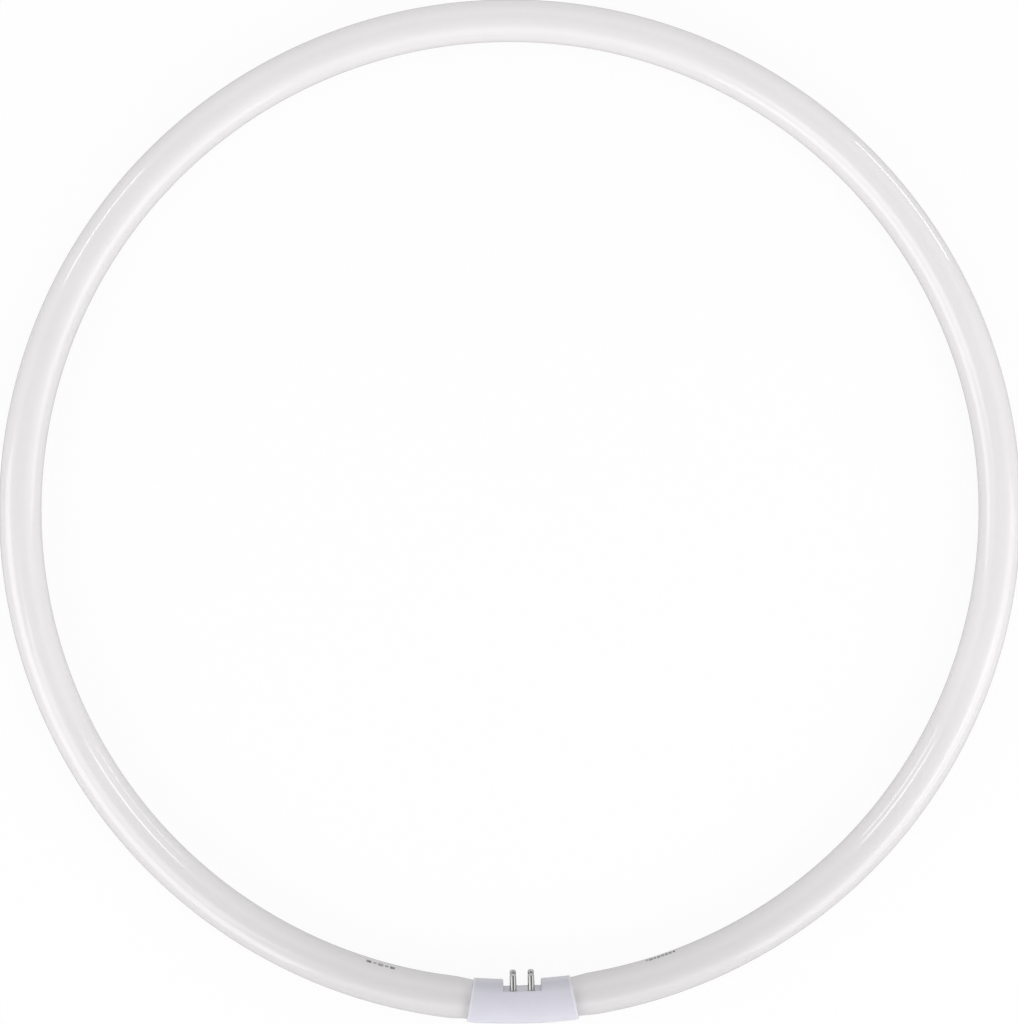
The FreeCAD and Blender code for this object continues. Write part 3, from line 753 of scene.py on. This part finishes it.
# %% Lamp helpers
REACH = 1.1


def around(azimuth, from_zenith):
    """Place at one distance from the ring's middle, by its direction in degrees."""
    turn, fall = math.radians(azimuth), math.radians(from_zenith)
    level = math.sin(fall)
    return ring_middle + REACH * Vector((level * math.cos(turn), level * math.sin(turn), math.cos(fall)))


def add_card(name, place, width, length, radiance, aim=ring_middle):
    """Rectangular lamp that faces the ring: its energy follows from its brightness and its area."""
    lamp = bpy.data.lights.new(name, "AREA")
    lamp.shape = "RECTANGLE"
    lamp.size = width
    lamp.size_y = length
    lamp.energy = radiance * math.pi * width * length
    card = bpy.data.objects.new(name, lamp)
    bpy.context.scene.collection.objects.link(card)
    card.location = place
    card.rotation_euler = (Vector(aim) - Vector(place)).to_track_quat("-Z", "Y").to_euler()
    card.visible_camera = False
    return card


def add_soft_lamp(name, place, **sizes):
    """Lamp that shades and isn't mirrored."""
    lamp = add_card(name, place, **sizes)
    lamp.visible_glossy = False
    return lamp


def add_mirrored_card(name, place, **sizes):
    """Card that shows only where the surface mirrors it."""
    card = add_card(name, place, **sizes)
    card.visible_diffuse = False
    return card


print(f"lamps placed by direction hang {REACH} m from the middle of the ring")

# %% Lamps, cards and strips
GRID_ANGLE = math.radians(36)    # a grid keeps these strips' light to a narrow beam
GRIDDED_STRIPS = (
    ("gridded right strip", (0.392, 0.294, 0.70), 0.155, (-0.144, -0.108, ring_height)),
    ("gridded left strip", (-0.331, 0.256, 0.75), 0.11, (0.143, -0.110, ring_height)))

add_soft_lamp("overhead lamp", around(40, 25), width=0.5, length=0.5, radiance=1.6)
add_soft_lamp("left lamp", around(218, 60), width=0.5, length=0.5, radiance=2.65)
add_soft_lamp("right lamp", around(315, 60), width=0.5, length=0.5, radiance=2.9)
add_mirrored_card("left high card", around(215, 32), width=0.5, length=0.5, radiance=0.77)
add_mirrored_card("left low card", (-0.766, -0.407, 0.38), width=1.25, length=0.46, radiance=0.98)
add_mirrored_card("right high card", around(330, 58), width=0.5, length=0.3, radiance=0.39)
add_mirrored_card("right low card", (0.73, -0.45, 0.30), width=1.05, length=0.52, radiance=0.66)
add_mirrored_card("near card", around(270, 55), width=0.7, length=0.35, radiance=0.19)
add_mirrored_card("far right strip", (0.344, 0.258, 0.034), width=0.13, length=0.03, radiance=3.56)
add_mirrored_card("far left strip", (-0.627, 0.464, 0.46), width=0.22, length=0.06, radiance=4.0)
for name, place, width, aim in GRIDDED_STRIPS:
    strip = add_mirrored_card(name, place, width=width, length=0.12, radiance=0.105, aim=aim)
    strip.data.spread = GRID_ANGLE
placed = sum(item.type == "LIGHT" for item in bpy.context.scene.objects)
print("lamps, cards and strips:", placed)

# %% Lamp for the cap
cap_lamp = add_soft_lamp("cap lamp", (0, -0.30, 0.10), width=0.12, length=0.06, radiance=2.35,
                         aim=(0, -0.18, 0.01))
lit_by_cap_lamp = bpy.data.collections.new("lit by cap lamp")
for half in CAP_HALVES:
    lit_by_cap_lamp.objects.link(nodes[half])
cap_lamp.light_linking.receiver_collection = lit_by_cap_lamp
print("the cap lamp lights", ", ".join(CAP_HALVES))

# %% [markdown]
# ## Camera
# The picture looks straight down on the ring, which nearly fills it. A long lens at a little over a
# metre keeps the view almost parallel, yet shows the tips of the lower pins past the upper ones. The
# lens could be tuned by eye, but it follows from the width of the ring's inner edge in the picture. The
# camera is rolled by a degree and a half, because the cap isn't quite at the bottom of the picture.

# %% Place the camera
IMAGE_WIDTH, IMAGE_HEIGHT = 1018, 1024
RING_CENTRE_X, RING_CENTRE_Y = 510.05, 510.5
INNER_EDGE_PIXELS = 468.7
CAP_CENTRE_X = 522.5
CAMERA_DISTANCE = 1.3
SENSOR = 36.0

inner_radius = ring_radius - tube_radius
ring_pixels = INNER_EDGE_PIXELS * ring_radius / inner_radius
roll = -math.asin((CAP_CENTRE_X - RING_CENTRE_X) / ring_pixels)
focal_pixels = INNER_EDGE_PIXELS / (inner_radius / CAMERA_DISTANCE)
pixel_size = CAMERA_DISTANCE / focal_pixels
off_centre = Vector((IMAGE_WIDTH / 2 - RING_CENTRE_X, RING_CENTRE_Y - IMAGE_HEIGHT / 2, 0)) * pixel_size
lens = bpy.data.cameras.new("camera")
lens.sensor_width = SENSOR
lens.lens = focal_pixels / max(IMAGE_WIDTH, IMAGE_HEIGHT) * SENSOR
camera = bpy.data.objects.new("camera", lens)
bpy.context.scene.collection.objects.link(camera)
camera.rotation_euler = (0, 0, roll)
overhead = Vector((0, 0, ring_height + CAMERA_DISTANCE))
camera.location = Matrix.Rotation(roll, 3, "Z") @ off_centre + overhead
bpy.context.scene.camera = camera
print(f"lens {lens.lens:.1f} mm, roll {math.degrees(roll):.2f} degrees")

# %% [markdown]
# ## Finish
# The view transform is set so that a colour comes out as it is written.

# %% Finish
bpy.context.scene.view_settings.view_transform = "Standard"
